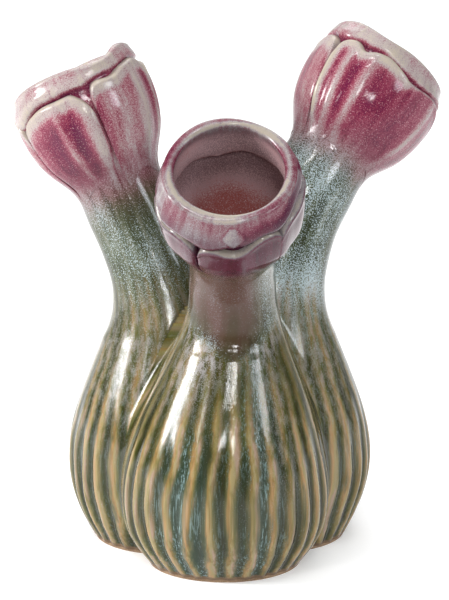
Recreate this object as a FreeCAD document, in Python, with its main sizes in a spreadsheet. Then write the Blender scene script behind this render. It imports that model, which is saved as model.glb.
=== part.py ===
import FreeCAD, Part
import math
import os

import Sketcher

# A glazed vase of three stems. Three ribbed bulbs stand in a trefoil on one bare clay foot,
# each drawn up into a neck that bends outwards and ends in a flower head with an open mouth.
# Lengths are in millimetres and angles in degrees. The origin is the middle of the resting
# face, +Z is up and the front stem leans towards -Y.

SIZES = {
    "stem_offset": 24.0,        # middle of the vase to the upright axis of each bulb
    "turn": 3.2,                # how far the whole trefoil is turned from square to the front
    "wall": 4.5,                # clay between glaze skin and bore, in bulbs and necks
    "foot_edge": 1.2,           # bare clay that shows below the bulbs
    "foot_inset": 0.8,          # the bare edge lies this far inside the bulb's own foot
    "foot_register": 4.0,       # height of the raised discs that centre the bulbs
    "register_clearance": 0.3,  # gap round each raised disc
    "foot_radius": 31.8,        # bulb profile, from the foot up
    "haunch_height": 12.5,
    "belly_radius": 42.0,
    "belly_height": 40.0,
    "shoulder_height": 82.0,
    "waist_height": 108.0,
    "rib_depth": 1.7,           # valley below ridge, where the ribs are deepest
    "rib_top": 106.0,           # height where the ribs have died out
    "rib_fade": 38.0,           # length over which they die out
    "throat_radius": 18.4,      # where neck and flower cup are joined
    "cup_height": 47.0,         # throat to the top of the lip
    "swell_radius": 26.5,       # widest outside of the cup, under its petals
    "swell_drop": 15.0,         # the widest level lies this far below the top of the lip
    "lip_draw": 1.5,            # the lip is drawn in this far from the widest level
    "lip_thickness": 3.2,       # clay of the cup across its lip
    "cup_wall": 3.3,            # clay of the cup at its widest
    "petal_thickness": 2.7,     # petal at its widest
    "petal_root": 0.6,          # petal where it runs out on the throat
    "petal_tip": 1.2,           # petal across its top edge
    "petal_drop": 8.0,          # the lobes stop this far below the top of the lip
    "petal_notch": 4.5,         # depth of the notch between two lobes
    "petal_corner": 10.0,       # the top edge meets the sides this far below the lobes
    "petal_parting": 5.0,       # degrees of the cup left bare between two petals
    "petal_bed": 0.1,           # slip between petal and cup
    "front_haunch_radius": 39.3,
    "front_shoulder_radius": 27.4,
    "front_waist_radius": 18.0,
    "front_neck_radius": 17.2,
    "front_bend_drop": 18.0,    # the axis starts to bend this far below the waist
    "front_bend_radius": 60.0,
    "front_bend": 37.5,
    "front_reach": 12.0,        # straight run from the bend to the throat
    "front_swing": -5.0,        # bend's direction from the bulb's own
    "front_shift": 3.4,         # the waist is drawn this far sideways
    "front_petal_turn": 8.0,    # middle of the first petal round the cup
    "left_haunch_radius": 37.6,
    "left_shoulder_radius": 28.6,
    "left_waist_radius": 20.3,
    "left_neck_radius": 18.0,
    "left_bend_drop": 23.0,
    "left_bend_radius": 79.0,
    "left_bend": 25.6,
    "left_reach": 34.6,
    "left_swing": 6.3,
    "left_shift": 1.0,
    "left_petal_turn": 86.0,
    "right_haunch_radius": 37.4,
    "right_shoulder_radius": 28.6,
    "right_waist_radius": 20.3,
    "right_neck_radius": 18.4,
    "right_bend_drop": 22.5,
    "right_bend_radius": 96.0,
    "right_bend": 42.0,
    "right_reach": 9.6,
    "right_swing": 5.0,
    "right_shift": -1.0,
    "right_petal_turn": 218.0,
    "overrun": 3.0,             # how far every cutting shape passes the face it cuts
}

# Stems in order round the foot, each a third of a turn on from the last
STEMS = ("front", "right", "left")
RIB_COUNT = 30
BULB_SECTION_COUNT = 11
PETAL_COUNT = 5

# The ribs start at the foot with this share of their depth
FOOT_RIB_SHARE = 0.5

# Evenly spaced neck sections: shares of the way from waist to neck radius and on to the throat
NECK_RADIUS_SHARES = ((0.0, 0.0), (0.7, 0.0), (1.0, 0.0), (1.0, 0.15), (1.0, 1.0))

doc = FreeCAD.newDocument("ThreeStemVase")
sheet = doc.addObject("Spreadsheet::Sheet", "Sizes")
for row, (name, value) in enumerate(SIZES.items(), start=1):
    sheet.set("A%d" % row, name)
    sheet.set("B%d" % row, str(value))
    sheet.setAlias("B%d" % row, name)
doc.recompute()


def size(name):
    """One driving dimension, read back from the sheet."""
    return float(sheet.get(name))


def cell(name):
    """The same dimension as an expression names it."""
    return "Sizes." + name


def azimuth(stem):
    """Direction of a bulb from the middle, in degrees from +X."""
    return size("turn") - 90.0 + STEMS.index(stem) * 360.0 / len(STEMS)


def azimuth_cell(stem):
    return "(Sizes.turn - 90 + %d * 360 / %d)" % (STEMS.index(stem), len(STEMS))


def origin_plane(body, role):
    return next(feature for feature in body.Origin.OriginFeatures if feature.Role == role)


def add_sketch(body, name, role):
    sketch = body.newObject("Sketcher::SketchObject", name)
    sketch.AttachmentSupport = [(origin_plane(body, role), "")]
    sketch.MapMode = "FlatFace"
    return sketch


def bind(sketch, constraint, expression):
    """Add a constraint to a sketch and tie its value to the sheet."""
    index = sketch.addConstraint(constraint)
    sketch.setExpression("Constraints[%d]" % index, expression)


# Stem axes

def axis_frame(stem, length):
    """Placement of the section that lies this far along a stem's axis."""
    rise = size("waist_height") - size(stem + "_bend_drop")
    radius = size(stem + "_bend_radius")
    bend = math.radians(size(stem + "_bend"))
    tilt = min(max((length - rise) / radius, 0.0), bend)
    straight = max(length - rise - radius * bend, 0.0)
    out = radius * (1.0 - math.cos(tilt)) + straight * math.sin(tilt)
    up = min(length, rise) + radius * math.sin(tilt) + straight * math.cos(tilt)
    along = (length - size("belly_height")) / (size("waist_height") - size("belly_height"))
    along = min(max(along, 0.0), 1.0)
    shift = size(stem + "_shift") * along * along * (3.0 - 2.0 * along)
    swing = size(stem + "_swing")
    bulb_turn = FreeCAD.Rotation(azimuth(stem), 0, 0)
    swing_turn = FreeCAD.Rotation(swing, 0, 0)
    place = bulb_turn.multVec(FreeCAD.Vector(size("stem_offset"), shift, 0))
    place += (bulb_turn * swing_turn).multVec(FreeCAD.Vector(out, 0, up))
    lay = FreeCAD.Rotation(FreeCAD.Vector(0, 1, 0), math.degrees(tilt))
    return FreeCAD.Placement(place, bulb_turn * swing_turn * lay * swing_turn.inverted())


def rise_cell(stem):
    """Height at which the axis leaves the upright."""
    return "(Sizes.waist_height - %s_bend_drop)" % cell(stem)


def stem_base_cell(stem):
    """Where a neck's own origin stands at table height, below its waist."""
    turned = azimuth_cell(stem)
    shift = cell(stem + "_shift")
    across = "Sizes.stem_offset * cos(%s) - %s * sin(%s)" % (turned, shift, turned)
    depth = "Sizes.stem_offset * sin(%s) + %s * cos(%s)" % (turned, shift, turned)
    return across, depth


def placement_cell(across, depth, up, turned, tilt):
    return ("create(<<placement>>; create(<<vector>>; %s; %s; %s); "
            "create(<<rotation>>; %s; %s; 0))" % (across, depth, up, turned, tilt))


def throat_cells(stem):
    """Outward and upward place of the throat in the plane of the bend."""
    radius, bend = cell(stem + "_bend_radius"), cell(stem + "_bend")
    out = "(%s * (1 - cos(%s)) + %s_reach * sin(%s))" % (radius, bend, cell(stem), bend)
    up = "(%s + %s * sin(%s) + %s_reach * cos(%s))" % (
        rise_cell(stem), radius, bend, cell(stem), bend)
    return out, up


def head_placement_cell(stem):
    """Placement expression of a flower head, with its own +Z along the tilted axis."""
    across, depth = stem_base_cell(stem)
    out, up = throat_cells(stem)
    turned = "(%s + %s)" % (azimuth_cell(stem), cell(stem + "_swing"))
    return placement_cell("%s + %s * cos(%s)" % (across, out, turned),
                          "%s + %s * sin(%s)" % (depth, out, turned),
                          up, turned, cell(stem + "_bend"))


# Foot

def add_disc(name, stem, radius, bottom, height):
    disc = doc.addObject("Part::Cylinder", name)
    disc.setExpression("Radius", radius)
    disc.setExpression("Height", height)
    turned = azimuth_cell(stem)
    disc.setExpression("Placement", placement_cell(
        "Sizes.stem_offset * cos(%s)" % turned, "Sizes.stem_offset * sin(%s)" % turned,
        bottom, "0", "0"))
    return disc


def make_foot():
    """Trefoil disc of bare clay with a raised disc inside each bulb."""
    discs = []
    for stem in STEMS:
        discs.append(add_disc(stem + "_foot_disc", stem, "Sizes.foot_radius - Sizes.foot_inset",
                              "0", "Sizes.foot_edge"))
        discs.append(add_disc(stem + "_register_disc", stem,
                              "Sizes.foot_radius - Sizes.wall - Sizes.register_clearance",
                              "0", "Sizes.foot_edge + Sizes.foot_register"))
    foot = doc.addObject("Part::MultiFuse", "Foot")
    foot.Shapes = discs
    foot.Refine = True
    foot.Label = "foot_slab"
    return foot


# Ribbed bulbs

def bulb_profile(stem):
    """Radius and height of a bulb's ridges, evenly along one smooth curve."""
    knots = [
        (size("foot_radius"), size("foot_edge")),
        (size(stem + "_haunch_radius"), size("haunch_height")),
        (size("belly_radius"), size("belly_height")),
        (size(stem + "_shoulder_radius"), size("shoulder_height")),
        (size(stem + "_waist_radius"), size("waist_height")),
    ]
    curve = Part.BSplineCurve()
    curve.interpolate([FreeCAD.Vector(radius, 0, height) for radius, height in knots])
    steps = BULB_SECTION_COUNT - 1
    span = curve.LastParameter - curve.FirstParameter
    stops = [curve.FirstParameter + span * step / steps for step in range(steps + 1)]
    places = [curve.value(stop) for stop in stops]
    return [(place.x, place.z) for place in places]


def rib_wire(radius, height, frame):
    """Closed outline of one level: a rounded arc for each rib, with a sharp valley between."""
    fade = min(max((size("rib_top") - height) / size("rib_fade"), 0.0), 1.0)
    foot = min(height / size("haunch_height"), 1.0)
    depth = size("rib_depth") * fade * (FOOT_RIB_SHARE + (1.0 - FOOT_RIB_SHARE) * foot)
    half = math.pi / RIB_COUNT
    ribs = []
    for rib in range(RIB_COUNT):
        middle = 2.0 * half * rib
        valley = radius - depth
        places = ((valley, middle - half), (radius, middle), (valley, middle + half))
        points = [frame.multVec(FreeCAD.Vector(reach * math.cos(angle), reach * math.sin(angle), 0))
                  for reach, angle in places]
        ribs.append(Part.Arc(*points).toShape())
    return Part.Wire(ribs)


def bore_wire(radius, frame):
    circle = Part.Wire([Part.makeCircle(radius)])
    circle.Placement = frame
    return circle


def bulb_shapes(stem):
    """Ribbed skin and smooth bore of one bulb, both as solids."""
    skin, bore = [], []
    profile = bulb_profile(stem)
    bottom, top = profile[0], profile[-1]
    over = size("overrun")
    wall = size("wall")
    for radius, height in profile:
        frame = axis_frame(stem, height)
        skin.append(rib_wire(radius, height, frame))
        bore.append(bore_wire(radius - wall, frame))
    bore.insert(0, bore_wire(bottom[0] - wall, axis_frame(stem, bottom[1] - over)))
    bore.append(bore_wire(top[0] - wall, axis_frame(stem, top[1] + over)))
    return Part.makeLoft(skin, True, False), Part.makeLoft(bore, True, False)


def make_bulb(stem):
    """Ribbed shell, open below and above, cut off square where it meets its neighbours."""
    skin_shape, bore_shape = bulb_shapes(stem)
    skin = doc.addObject("Part::Feature", stem + "_bulb_skin")
    skin.Shape = skin_shape
    bore = doc.addObject("Part::Feature", stem + "_bulb_bore")
    bore.Shape = bore_shape
    sector = doc.addObject("Part::Cylinder", stem + "_sector")
    sector.Angle = 360.0 / len(STEMS)
    sector.setExpression("Radius", "Sizes.stem_offset + Sizes.belly_radius + Sizes.overrun")
    sector.setExpression("Height", "Sizes.waist_height + Sizes.belly_radius")
    sector.setExpression("Placement", placement_cell(
        "0", "0", "0", "%s - 180 / %d" % (azimuth_cell(stem), len(STEMS)), "0"))
    solid = doc.addObject("Part::Common", stem + "_bulb_solid")
    solid.Base = skin
    solid.Tool = sector
    bulb = doc.addObject("Part::Cut", stem + "_bulb_shell")
    bulb.Base = solid
    bulb.Tool = bore
    bulb.Label = stem + "_bulb"
    return bulb


# Necks

def make_neck(stem):
    """Hollow neck: round sections on the bent axis, from the bulb's joint to the throat."""
    body = doc.addObject("PartDesign::Body", stem + "_neck_body")
    radius, bend = cell(stem + "_bend_radius"), cell(stem + "_bend")
    start = "(%s_bend_drop / %s * 180 / pi)" % (cell(stem), radius)
    bent = "((%s - %s) * pi / 180 * %s)" % (bend, start, radius)
    places = []
    last = len(NECK_RADIUS_SHARES) - 1
    for number, (narrowed, flared) in enumerate(NECK_RADIUS_SHARES):
        along = "((%s + %s_reach) * %d / %d)" % (bent, cell(stem), number, last)
        tilt = "min(%s; %s + %s / %s * 180 / pi)" % (bend, start, along, radius)
        run = "max(0; %s - %s)" % (along, bent)
        places.append((
            "%s * (1 - cos(%s)) + %s * sin(%s)" % (radius, tilt, run, tilt),
            "%s + %s * sin(%s) + %s * cos(%s)" % (rise_cell(stem), radius, tilt, run, tilt),
            tilt,
            "%s_waist_radius * %g + %s_neck_radius * %g + Sizes.throat_radius * %g" % (
                cell(stem), 1.0 - narrowed, cell(stem), narrowed - flared, flared),
        ))
    sketches = []
    for number, (out, up, tilt, outer) in enumerate(places):
        sketch = add_sketch(body, "%s_neck_ring_%d" % (stem, number), "XY_Plane")
        tipped = FreeCAD.Rotation(FreeCAD.Vector(0, 1, 0), size(stem + "_bend"))
        sketch.AttachmentOffset = FreeCAD.Placement(FreeCAD.Vector(0, 0, 0), tipped)
        sketch.setExpression("AttachmentOffset.Base.x", out)
        sketch.setExpression("AttachmentOffset.Base.z", up)
        sketch.setExpression("AttachmentOffset.Rotation.Angle", tilt)
        for ring, radius_cell in enumerate((outer, outer + " - Sizes.wall")):
            guess = float(sketch.evalExpression(radius_cell))
            circle = Part.Circle(FreeCAD.Vector(0, 0, 0), FreeCAD.Vector(0, 0, 1), guess)
            sketch.addGeometry(circle, False)
            sketch.addConstraint(Sketcher.Constraint("Coincident", ring, 3, -1, 1))
            bind(sketch, Sketcher.Constraint("Radius", ring, guess), radius_cell)
        sketches.append(sketch)
    loft = body.newObject("PartDesign::AdditiveLoft", stem + "_neck_wall")
    loft.Profile = sketches[0]
    loft.Sections = sketches[1:]
    across, depth = stem_base_cell(stem)
    body.setExpression("Placement", placement_cell(
        across, depth, "0", "%s + %s" % (azimuth_cell(stem), cell(stem + "_swing")), "0"))
    body.Label = stem + "_neck"
    return body


# Flower heads

def bow_radius(near, far, rise):
    """Radius of an arc that is upright at its widest point and ends this far in and along."""
    return "((%s - %s) ^ 2 + (%s) ^ 2) / (2 * (%s - %s))" % (far, near, rise, far, near)


class Profile:
    """A closed sketch outline whose corners and arcs are tied to the sheet one by one."""

    def __init__(self, sketch):
        self.sketch = sketch

    def value(self, expression):
        """What an expression comes to now, for a curve's first guess."""
        return float(self.sketch.evalExpression(expression))

    def upright_arc(self, side, side_height, widest, widest_height):
        """Arc between a point at one side and a widest point that is level with its centre."""
        near, low = self.value(side), self.value(side_height)
        far, level = self.value(widest), self.value(widest_height)
        radius = ((far - near) ** 2 + (level - low) ** 2) / (2.0 * (far - near))
        swing = math.atan2(low - level, near - far + radius)
        circle = Part.Circle(
            FreeCAD.Vector(far - radius, level, 0), FreeCAD.Vector(0, 0, 1), radius)
        arc = Part.ArcOfCircle(circle, min(swing, 0.0), max(swing, 0.0))
        index = self.sketch.addGeometry(arc, False)
        self.height(index, 3, widest_height)
        return index

    def across(self, index, point, expression):
        value = self.value(expression)
        bind(self.sketch, Sketcher.Constraint("DistanceX", -1, 1, index, point, value), expression)

    def height(self, index, point, expression):
        value = self.value(expression)
        bind(self.sketch, Sketcher.Constraint("DistanceY", -1, 1, index, point, value), expression)

    def pin(self, index, point, across, height):
        """Hold an end (1 or 2) or a centre (3) of a curve at a place."""
        self.across(index, point, across)
        self.height(index, point, height)

    def join(self, first, first_point, second, second_point):
        self.sketch.addConstraint(
            Sketcher.Constraint("Coincident", first, first_point, second, second_point))

    def line(self, start, end):
        places = [FreeCAD.Vector(self.value(across), self.value(up), 0)
                  for across, up in (start, end)]
        return self.sketch.addGeometry(Part.LineSegment(*places), False)


def revolve(body, name, sketch, angle):
    feature = body.newObject("PartDesign::Revolution", name)
    feature.Profile = sketch
    feature.ReferenceAxis = (sketch, ["V_Axis"])
    feature.Midplane = True
    feature.setExpression("Angle", angle)
    return feature


# Outside and inside radius of the cup at its lip
LIP = "(Sizes.swell_radius - Sizes.lip_draw)"
MOUTH = "(%s - Sizes.lip_thickness)" % LIP

# Heights above the throat: middle of the rounded lip, widest level, top of a petal's lobes
CREST = "(Sizes.cup_height - Sizes.lip_thickness / 2)"
SWELL_LEVEL = "(Sizes.cup_height - Sizes.swell_drop)"
PETAL_TOP = "(Sizes.cup_height - Sizes.petal_drop)"


def make_cup(stem):
    """Open flower cup, widest near two thirds of its height, with a rounded lip."""
    body = doc.addObject("PartDesign::Body", stem + "_cup_body")
    sketch = add_sketch(body, stem + "_cup_section", "XZ_Plane")
    outline = Profile(sketch)
    throat, swell = "Sizes.throat_radius", "Sizes.swell_radius"
    level, crest = SWELL_LEVEL, CREST
    lip, mouth = LIP, MOUTH
    bore, hollow = "(Sizes.throat_radius - Sizes.wall)", "(Sizes.swell_radius - Sizes.cup_wall)"
    outer_low = outline.upright_arc(throat, "0", swell, level)
    outer_high = outline.upright_arc(lip, crest, swell, level)
    inner_high = outline.upright_arc(mouth, crest, hollow, level)
    inner_low = outline.upright_arc(bore, "0", hollow, level)
    half = (outline.value(lip) - outline.value(mouth)) / 2.0
    crown = Part.Circle(
        FreeCAD.Vector(outline.value(mouth) + half, outline.value(crest), 0),
        FreeCAD.Vector(0, 0, 1), half)
    over = sketch.addGeometry(Part.ArcOfCircle(crown, 0.0, math.pi), False)
    base = outline.line((bore, "0"), (throat, "0"))
    outline.pin(outer_low, 1, throat, "0")
    outline.pin(outer_low, 2, swell, level)
    outline.join(outer_low, 2, outer_high, 1)
    outline.pin(outer_high, 2, lip, crest)
    outline.join(outer_high, 2, over, 1)
    outline.height(over, 3, crest)
    outline.pin(over, 2, mouth, crest)
    outline.join(over, 2, inner_high, 2)
    outline.pin(inner_high, 1, hollow, level)
    outline.join(inner_high, 1, inner_low, 2)
    outline.pin(inner_low, 1, bore, "0")
    outline.join(inner_low, 1, base, 1)
    outline.join(base, 2, outer_low, 1)
    revolve(body, stem + "_cup_wall", sketch, "360")
    body.setExpression("Placement", head_placement_cell(stem))
    body.Label = stem + "_flower_cup"
    return body


def petal_section(body, name):
    """Crescent section of a petal: it runs out on the throat and thickens to the swell."""
    sketch = add_sketch(body, name, "XZ_Plane")
    outline = Profile(sketch)
    level, top = SWELL_LEVEL, PETAL_TOP
    bed = "(Sizes.swell_radius + Sizes.petal_bed)"
    root = "(Sizes.throat_radius + Sizes.petal_bed)"
    back = "(%s + Sizes.petal_thickness)" % bed
    root_back = "(%s + Sizes.petal_root)" % root
    rise = "(%s - %s)" % (CREST, level)
    bow = bow_radius(LIP, "Sizes.swell_radius", rise)
    tip = "(%s - %s + sqrt((%s) ^ 2 - (%s - %s) ^ 2))" % (bed, bow, bow, top, level)
    tip_back = "(%s + Sizes.petal_tip)" % tip
    inner_low = outline.upright_arc(root, "0", bed, level)
    inner_high = outline.upright_arc(tip, top, bed, level)
    outer_low = outline.upright_arc(root_back, "0", back, level)
    outer_high = outline.upright_arc(tip_back, top, back, level)
    base = outline.line((root, "0"), (root_back, "0"))
    edge = outline.line((tip, top), (tip_back, top))
    outline.pin(inner_low, 1, root, "0")
    outline.pin(inner_low, 2, bed, level)
    outline.join(inner_low, 2, inner_high, 1)
    outline.pin(inner_high, 2, tip, top)
    outline.pin(outer_low, 1, root_back, "0")
    outline.pin(outer_low, 2, back, level)
    outline.join(outer_low, 2, outer_high, 1)
    outline.pin(outer_high, 2, tip_back, top)
    outline.join(inner_low, 1, base, 1)
    outline.join(base, 2, outer_low, 1)
    outline.join(inner_high, 2, edge, 1)
    outline.join(edge, 2, outer_high, 2)
    return sketch


# The lobes' peaks stand this share of the half width from the petal's middle
PEAK_SHARE = 0.45

# Degrees of the cup that one petal covers
PETAL_SPAN = "(360 / %d - Sizes.petal_parting)" % PETAL_COUNT


def petal_trim(body, name):
    """Outline of what is cut off above a petal's two lobes, seen from outside."""
    sketch = add_sketch(body, name, "YZ_Plane")
    outline = Profile(sketch)
    back = "(Sizes.swell_radius + Sizes.petal_bed + Sizes.petal_thickness)"
    half = "(%s * sin(%s / 2))" % (back, PETAL_SPAN)
    peak = "(%s * %g)" % (half, PEAK_SHARE)
    lobe = "((%s ^ 2 + Sizes.petal_notch ^ 2) / (2 * Sizes.petal_notch))" % peak
    level = "(%s - %s)" % (PETAL_TOP, lobe)
    corner = "(%s - Sizes.petal_corner)" % PETAL_TOP
    ceiling = "(%s + Sizes.overrun)" % PETAL_TOP
    radius, dip = outline.value(lobe), outline.value("Sizes.petal_notch")
    lobes = []
    for side in (-1.0, 1.0):
        centre = FreeCAD.Vector(side * outline.value(peak), outline.value(level), 0)
        circle = Part.Circle(centre, FreeCAD.Vector(0, 0, 1), radius)
        notch = math.atan2(radius - dip, outline.value(peak))
        ends = (notch, math.pi) if side < 0 else (0.0, math.pi - notch)
        arc = sketch.addGeometry(Part.ArcOfCircle(circle, *ends), False)
        outline.pin(arc, 3, "%g * %s" % (side, peak), level)
        lobes.append(arc)
    left, right = lobes
    bind(sketch, Sketcher.Constraint("Radius", right, radius), lobe)
    sketch.addConstraint(Sketcher.Constraint("PointOnObject", right, 2, -2))
    outline.join(left, 1, right, 2)
    outline.height(left, 2, level)
    outline.height(right, 1, level)
    right_side = "(%s + Sizes.overrun)" % half
    left_side = "-1 * " + right_side
    corners = [(left_side, corner), (left_side, ceiling), (right_side, ceiling), (right_side, corner)]
    start = ("-1 * (%s + %s)" % (peak, lobe), level)
    end = ("(%s + %s)" % (peak, lobe), level)
    route = [start] + corners + [end]
    lines = [outline.line(*pair) for pair in zip(route, route[1:])]
    for line, corner_place in zip(lines, corners):
        outline.pin(line, 2, *corner_place)
    for line, following in zip(lines, lines[1:]):
        outline.join(line, 2, following, 1)
    outline.join(left, 2, lines[0], 1)
    outline.join(lines[-1], 2, right, 1)
    return sketch


def make_petal(stem, number):
    """One outer petal, bedded on its cup."""
    name = "%s_petal_%d" % (stem, number + 1)
    body = doc.addObject("PartDesign::Body", name + "_body")
    section = petal_section(body, name + "_section")
    revolve(body, name + "_blade", section, PETAL_SPAN)
    doc.recompute()
    pocket = body.newObject("PartDesign::Pocket", name + "_trim")
    pocket.Profile = petal_trim(body, name + "_lobes")
    pocket.Type = "ThroughAll"
    pocket.Reversed = True
    turned = "%s + %d * 360 / %d" % (cell(stem + "_petal_turn"), number, PETAL_COUNT)
    body.setExpression("Placement", "%s * %s" % (
        head_placement_cell(stem), placement_cell("0", "0", "0", turned, "0")))
    body.Label = name
    return body


# The whole vase

pieces = [make_foot()]
for stem in STEMS:
    pieces.append(make_bulb(stem))
    pieces.append(make_neck(stem))
    pieces.append(make_cup(stem))
    for number in range(PETAL_COUNT):
        pieces.append(make_petal(stem, number))
doc.recompute()

failed = [item.Name for item in doc.Objects if "Invalid" in item.State or "Error" in item.State]
if failed:
    raise RuntimeError("these objects failed: " + ", ".join(failed))
for piece in pieces:
    if piece.Shape.isNull() or not piece.Shape.isValid() or piece.Shape.Volume <= 0:
        raise RuntimeError(piece.Label + " has no valid shape")

os.makedirs("parts", exist_ok=True)
for piece in pieces:
    piece.Shape.exportStep("parts/%s.step" % piece.Label)
    box = piece.Shape.BoundBox
    print("%-18s %8.0f mm3 %2d solid  z %.1f to %.1f" % (
        piece.Label, piece.Shape.Volume, len(piece.Shape.Solids), box.ZMin, box.ZMax))
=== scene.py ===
import math

import bmesh
import bpy
import numpy as np
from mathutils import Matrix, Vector


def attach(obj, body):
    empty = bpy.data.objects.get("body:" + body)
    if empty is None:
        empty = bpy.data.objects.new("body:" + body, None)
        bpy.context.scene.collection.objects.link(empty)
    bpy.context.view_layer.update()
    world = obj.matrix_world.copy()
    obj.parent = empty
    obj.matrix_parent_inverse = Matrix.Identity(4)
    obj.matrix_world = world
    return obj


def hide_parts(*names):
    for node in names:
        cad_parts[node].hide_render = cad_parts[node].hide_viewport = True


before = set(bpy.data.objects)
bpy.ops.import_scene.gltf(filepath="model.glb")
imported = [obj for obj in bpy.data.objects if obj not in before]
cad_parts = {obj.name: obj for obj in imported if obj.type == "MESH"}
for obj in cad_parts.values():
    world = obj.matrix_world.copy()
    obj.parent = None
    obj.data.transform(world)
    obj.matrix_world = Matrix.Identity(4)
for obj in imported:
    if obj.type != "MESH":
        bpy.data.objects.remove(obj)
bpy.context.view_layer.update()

# A glazed vase of three stems. Shapes are worked out in millimetres, along and around each bent
# stem, and written to the meshes in metres. The stems' sizes are those of the solids.

MM = 0.001
STEM_OFFSET = 24.0
FOOT_EDGE, FOOT_RADIUS = 1.2, 31.8
HAUNCH_HEIGHT, BELLY_HEIGHT, BELLY_RADIUS, SHOULDER_HEIGHT = 12.5, 40.0, 42.0, 82.0
WAIST_HEIGHT = 108.0
WALL = 4.5
RIB_COUNT, RIB_DEPTH, RIB_TOP, RIB_FADE = 30, 1.7, 106.0, 38.0
GLAZED_DEPTH = 1.5
THROAT_RADIUS, SWELL_RADIUS, CUP_WALL = 18.4, 26.5, 3.3
LIP_RADIUS, MOUTH_RADIUS, CUP_HEIGHT, SWELL_LEVEL = 25.0, 21.8, 47.0, 32.0

STEM_SIZES = ("azimuth", "swing", "shift", "bend_drop", "bend_radius", "bend", "reach",
              "haunch", "shoulder", "waist", "neck")
STEMS = {
    "front": (-86.8, -5.0, 3.4, 18.0, 60.0, 37.5, 12.0, 39.3, 27.4, 18.0, 17.2),
    "right": (33.2, 5.0, -1.0, 22.5, 96.0, 42.0, 9.6, 37.4, 28.6, 20.3, 18.4),
    "left": (153.2, 6.3, 1.0, 23.0, 79.0, 25.6, 34.6, 37.6, 28.6, 20.3, 18.0),
}

# How many points stand for a smooth curve
ROUND_POINTS, PROFILE_POINTS, EDGE_POINTS = 3000, 1600, 600


def smooth(value, low, high):
    """Rises softly from 0 at low to 1 at high."""
    share = np.clip((value - low) / (high - low), 0.0, 1.0)
    return share * share * (3.0 - 2.0 * share)


def fall(value, low, high):
    """Falls softly from 1 at low to 0 at high."""
    return 1.0 - smooth(value, low, high)


def hump(value, middle, width):
    """1 at the middle, fading to both sides."""
    return np.exp(-((value - middle) / width) ** 2)


def blend(first, second, share):
    return first + (second - first) * share


def turned_from(angle, middle):
    """Degrees from one direction to another, between -180 and 180."""
    return (angle - middle + 180.0) % 360.0 - 180.0


def facing(degrees, middle, width):
    """1 on one side of a stem, fading as the angle turns away from it."""
    return hump(turned_from(degrees, middle), 0.0, width)


def wave(degrees, waves, start=0.0):
    return np.sin(np.radians(degrees * waves + start))


def natural_spline(knots, count):
    """Evenly spaced points on the smooth curve through some knots."""
    knots = np.array(knots, float)
    steps = np.sqrt((np.diff(knots, axis=0) ** 2).sum(1))
    at = np.concatenate(([0.0], np.cumsum(steps)))
    last = len(at) - 1
    matrix = np.eye(last + 1)
    pull = np.zeros_like(knots)
    for i in range(1, last):
        before, after = steps[i - 1], steps[i]
        matrix[i, i - 1:i + 2] = before, 2.0 * (before + after), after
        pull[i] = 6.0 * ((knots[i + 1] - knots[i]) / after - (knots[i] - knots[i - 1]) / before)
    bend = np.linalg.solve(matrix, pull)
    where = np.linspace(0.0, at[-1], count)
    i = np.clip(np.searchsorted(at, where) - 1, 0, last - 1)
    gap = steps[i][:, None]
    rest, done = (at[i + 1] - where)[:, None], (where - at[i])[:, None]
    curve = (bend[i] * rest ** 3 + bend[i + 1] * done ** 3) / (6.0 * gap)
    curve += (knots[i] / gap - bend[i] * gap / 6.0) * rest
    return curve + (knots[i + 1] / gap - bend[i + 1] * gap / 6.0) * done


def round_curve(table, angles):
    """Height over a whole turn, smoothly through a table of angle and height in degrees and mm."""
    table = sorted(table.items())
    turns = [(angle + turn, height) for turn in (-360.0, 0.0, 360.0) for angle, height in table]
    curve = natural_spline(turns, ROUND_POINTS)
    return np.interp(angles, curve[:, 0], curve[:, 1])


def clay_ribs(along):
    """Depth of the ribs in the clay."""
    foot = 0.5 + 0.5 * np.clip(along / HAUNCH_HEIGHT, 0.0, 1.0)
    return RIB_DEPTH * foot * np.clip((RIB_TOP - along) / RIB_FADE, 0.0, 1.0)


def glazed_ribs(along):
    """Ribs as the glaze leaves them: softer than the clay, and nearly level at the shoulder."""
    foot = 0.6 + 0.4 * smooth(along, 0.0, HAUNCH_HEIGHT)
    level = 1.0 - 0.97 * smooth(along, 26.0, 68.0)
    return GLAZED_DEPTH * foot * level * fall(along, 92.0, RIB_TOP)


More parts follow.
